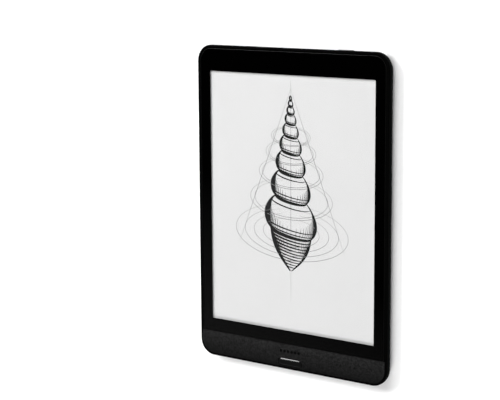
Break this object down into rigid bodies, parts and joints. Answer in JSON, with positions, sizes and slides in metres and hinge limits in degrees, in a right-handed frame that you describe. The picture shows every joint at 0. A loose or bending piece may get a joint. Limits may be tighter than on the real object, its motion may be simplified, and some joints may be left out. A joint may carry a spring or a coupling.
{
  "type": "e-reader",
  "caption": "Flat rounded e-reader with a flush glass front, light grey paper-like screen, grey chin with a pill home button, black rounded back and a power button on its top edge.",
  "frame": {"origin": "middle of the outline, on the plane of the back face", "axes": "+Z out of the screen, +X to the reader's right, +Y to the top edge of the device"},
  "size_m": [0.137, 0.1965, 0.0077],
  "materials": {
    "shell": "matte black",
    "frame": "satin dark grey",
    "gloss": "glossy black",
    "glass": "clear polished",
    "film": "clear film",
    "paper": "matte light grey electronic paper",
    "panel": "dark glass",
    "print": "black ink",
    "tape": "matte white adhesive",
    "foam": "black foam",
    "chassis": "satin",
    "steel": "bright",
    "board": "green solder mask",
    "flex": "amber film",
    "chip": "matte black",
    "ivory": "ivory plastic",
    "foil": "foil pouch",
    "lead_red": "red insulation",
    "lead_black": "black insulation"
  },
  "bodies": {
    "device": {"rear_cover": "shell", "front_frame": "frame", "cover_glass": "glass", "border_print": "print", "glass_tape": "tape", "touch_sensor": "film", "touch_flex": "flex", "light_guide": "film", "light_bar": "ivory", "eink_film": "paper", "display_backplane": "panel", "display_driver": "chip", "display_flex": "flex", "display_foam": "foam", "midframe": "chassis", "main_board": "board", "processor_shield": "steel", "processor_chip": "chip", "wifi_shield": "steel", "memory_chip": "chip", "power_chip": "chip", "display_connector": "ivory", "touch_connector": "ivory", "power_connector": "ivory", "battery_cell": "foil", "battery_tape": "tape", "battery_board": "board", "battery_socket": "ivory", "battery_plug": "ivory", "battery_lead": "lead_red", "antenna": "flex", "antenna_lead": "lead_black", "usb_shell": "steel", "usb_tongue": "chip", "home_switch": "steel", "home_board": "board", "home_flex": "flex", "power_switch": "steel", "power_board": "board", "power_flex": "flex", "frame_screw_1": "steel", "frame_screw_2": "steel", "frame_screw_3": "steel", "frame_screw_4": "steel", "frame_screw_5": "steel", "frame_screw_6": "steel", "frame_screw_7": "steel", "frame_screw_8": "steel", "board_screw_1": "steel", "board_screw_2": "steel", "board_screw_3": "steel", "board_screw_4": "steel", "home_screw_1": "steel", "home_screw_2": "steel"},
    "home_key": {"home_button": "gloss", "home_plunger": "ivory"},
    "power_key": {"power_button": "gloss", "power_plunger": "ivory"}
  },
  "joints": [
    {"name": "home_button_press", "type": "slide", "parent": "device", "child": "home_key", "axis": [0, 0, -1], "range_m": [0, 0.0003], "stiffness_N_per_m": 1000},
    {"name": "power_button_press", "type": "slide", "parent": "device", "child": "power_key", "axis": [0, -1, 0], "range_m": [0, 0.00035], "stiffness_N_per_m": 1000}
  ]
}
